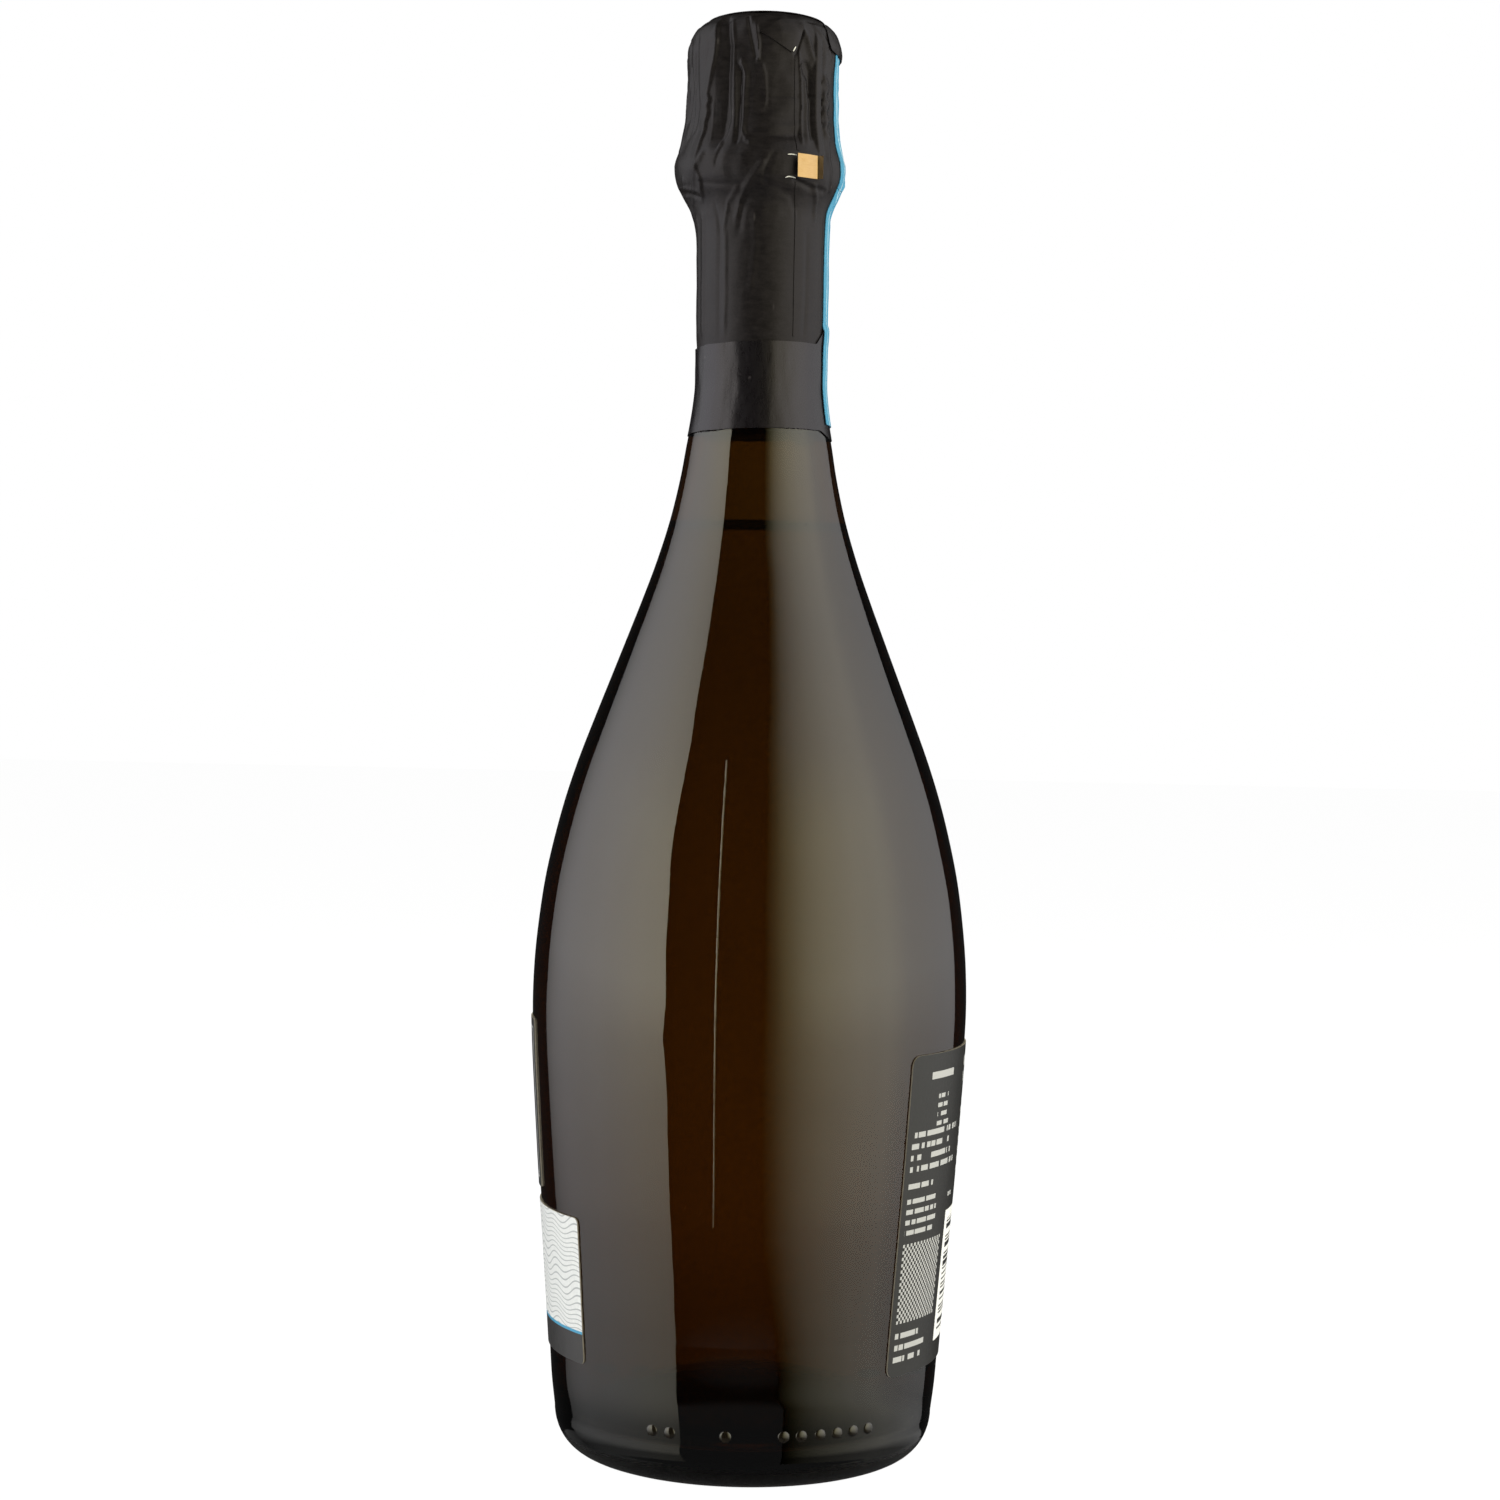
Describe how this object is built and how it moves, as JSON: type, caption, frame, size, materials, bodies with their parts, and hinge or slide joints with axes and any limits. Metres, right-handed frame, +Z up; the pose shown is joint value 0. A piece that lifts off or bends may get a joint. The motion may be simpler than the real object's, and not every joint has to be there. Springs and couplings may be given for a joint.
{
  "type": "sparkling wine bottle",
  "caption": "Sealed dark glass sparkling wine bottle with cork, wire cage, black foil capsule with tear tab, paper seal, neck band and labels.",
  "frame": {"origin": "centre of the base, on the plane that the standing ring rests on", "axes": "+Z up the bottle's axis towards the cork; the front labels face -Y and the back label faces +Y"},
  "size_m": [0.093, 0.0939, 0.3052],
  "materials": {
    "amber_glass": "polished",
    "wine": "gloss",
    "black_label": "satin",
    "silver_label": "satin",
    "back_label_paper": "satin",
    "black_foil": "satin",
    "satin_band": "satin",
    "blue_paper": "matte",
    "pressed_cork": "matte",
    "whole_cork": "matte",
    "plaque_tin": "gloss",
    "cage_wire": "satin",
    "gold_tab": "satin"
  },
  "bodies": {
    "bottle": {"glass_bottle": "amber_glass", "wine": "wine", "front_label_upper": "black_label", "front_label_lower": "silver_label", "back_label": "back_label_paper", "capsule_skirt": "black_foil", "neck_band": "satin_band", "seal_strip_lower": "blue_paper"},
    "cork": {"cork_body": "pressed_cork", "cork_disc_upper": "whole_cork", "cork_disc_lower": "whole_cork"},
    "muselet": {"plaque": "plaque_tin", "cage_ring": "cage_wire", "cage_leg_1": "cage_wire", "cage_leg_2": "cage_wire", "cage_leg_3": "cage_wire", "cage_leg_4": "cage_wire", "cage_belt": "cage_wire"},
    "capsule": {"capsule_crown": "black_foil", "capsule_top_disc": "black_foil", "tear_strip": "black_foil", "seal_strip_upper": "blue_paper"},
    "tab": {"tear_tab": "gold_tab"}
  },
  "joints": [
    {"name": "cork_pull", "type": "slide", "parent": "bottle", "child": "cork", "axis": [0, 0, 1], "range_m": [0, 0.06]},
    {"name": "muselet_lift", "type": "slide", "parent": "cork", "child": "muselet", "axis": [0, 0, 1], "range_m": [0, 0.038], "deforming": ["cage_leg_1", "cage_leg_2", "cage_leg_3", "cage_leg_4", "cage_belt"]},
    {"name": "capsule_lift", "type": "slide", "parent": "muselet", "child": "capsule", "axis": [0, 0, 1], "range_m": [0, 0.045]},
    {"name": "tear_tab_swing", "type": "hinge", "parent": "capsule", "child": "tab", "pos_m": [0.01571, 0.00997, 0.2716], "axis": [0, 0, -1], "range_deg": [0, 120]}
  ]
}
